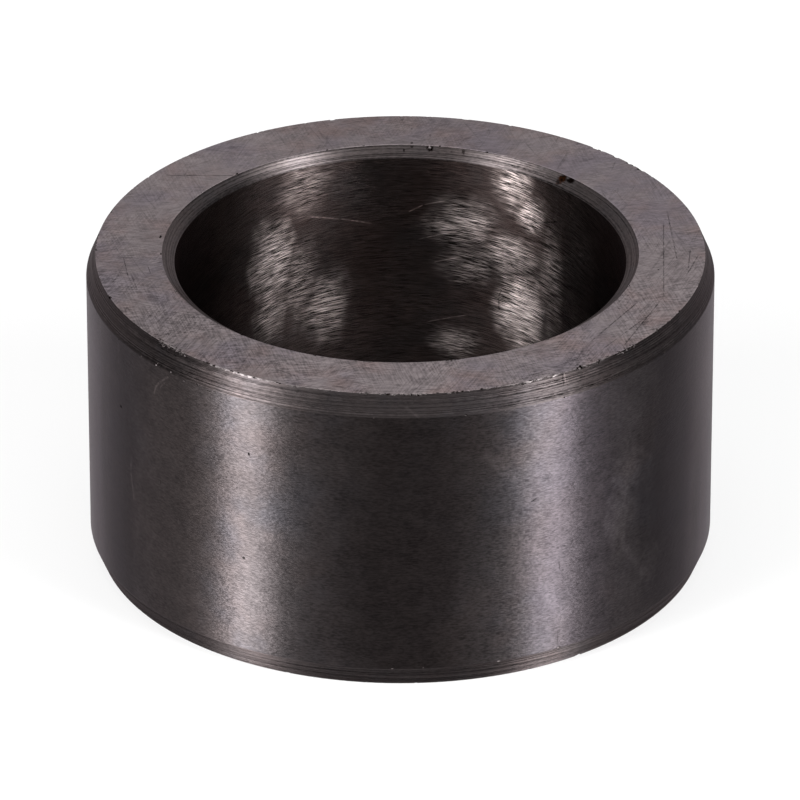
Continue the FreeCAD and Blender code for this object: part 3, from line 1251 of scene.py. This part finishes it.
# The studio: floor, lamps, world and camera

studio = {
    "floorSize": 8,
    "floorColour": (0.8, 0.8, 0.8, 1),
    "floorShine": 0.6,             # share of plain white that the camera and the metal see
    "worldColour": (0.4, 0.4, 0.4, 1),
    # name, degrees round, distance, height, height it looks at, width, length, glow of its surface
    "lamps": (
        ("side_lamp_left", -143.2, 0.5, 0.0845, 0.0845, 0.127, 0.161, 73),
        ("side_lamp_right", -38.7, 0.5, 0.0845, 0.0845, 0.127, 0.161, 66),
        ("high_lamp_left", -151, 0.5, 0.4, 0.02, 0.4, 0.2, 10),
        ("high_lamp_right", -30, 0.5, 0.4, 0.02, 0.4, 0.2, 10),
        ("top_lamp", 0, 0, 0.7, 0, 0.5, 0.5, 1),
    ),
}


def makeFloor(spec):
    deselectAll()
    bpy.ops.mesh.primitive_plane_add(size=spec["floorSize"], location=(0, 0, -0.02 * mm))
    floor = bpy.context.object
    floor.name = "studio_floor"
    material, tree, shader = newMaterial("studio_floor")
    shader.inputs["Base Color"].default_value = spec["floorColour"]
    shader.inputs["Roughness"].default_value = 1
    shader.inputs["Specular IOR Level"].default_value = 0
    path = addNode(tree, "LightPath")
    seen = add(tree, path.outputs["Is Camera Ray"], path.outputs["Is Glossy Ray"])
    seen = add(tree, seen, path.outputs["Is Transmission Ray"], clamp=True)
    white = addNode(tree, "Emission")
    share = multiply(tree, seen, spec["floorShine"])
    mixed = addNode(tree, "MixShader", {0: share, 1: shader.outputs[0], 2: white.outputs[0]})
    plug(tree, tree.nodes["Material Output"].inputs[0], mixed.outputs[0])
    floor.data.materials.append(material)


def makeLamps(spec):
    # The side lamps make the bright bands, the high ones light the bore, the top one the face
    for name, degrees, distance, height, lookHeight, width, length, glow in spec["lamps"]:
        lamp = bpy.data.lights.new(name, "AREA")
        lamp.shape = "RECTANGLE"
        lamp.size = width
        lamp.size_y = length
        lamp.energy = glow * math.pi * width * length
        obj = bpy.data.objects.new(name, lamp)
        scene.collection.objects.link(obj)
        obj.location = around(degrees, distance, height)
        back = obj.location - Vector((0, 0, lookHeight))
        obj.rotation_euler = back.to_track_quat("Z", "Y").to_euler()


def makeWorld(spec):
    world = bpy.data.worlds.new("studio")
    scene.world = world
    world.use_nodes = True
    world.node_tree.nodes["Background"].inputs["Color"].default_value = spec["worldColour"]


view = {
    "lens": 407.03,
    "elevation": 28.057,           # degrees above the floor
    "distance": 1015.476 * mm,
    "lookAt": (-0.045 * mm, 0, 17.19 * mm),
}


def makeCamera(spec):
    camera = bpy.data.objects.new("camera", bpy.data.cameras.new("camera"))
    scene.collection.objects.link(camera)
    camera.data.lens = spec["lens"]
    camera.data.sensor_width = 36
    camera.data.clip_end = 20
    rise = math.radians(spec["elevation"])
    back = Vector((0, -math.cos(rise), math.sin(rise)))
    camera.location = Vector(spec["lookAt"]) + spec["distance"] * back
    camera.rotation_euler = back.to_track_quat("Z", "Y").to_euler()
    scene.camera = camera


makeFloor(studio)
makeLamps(studio)
makeWorld(studio)
makeCamera(view)
print("studio set")
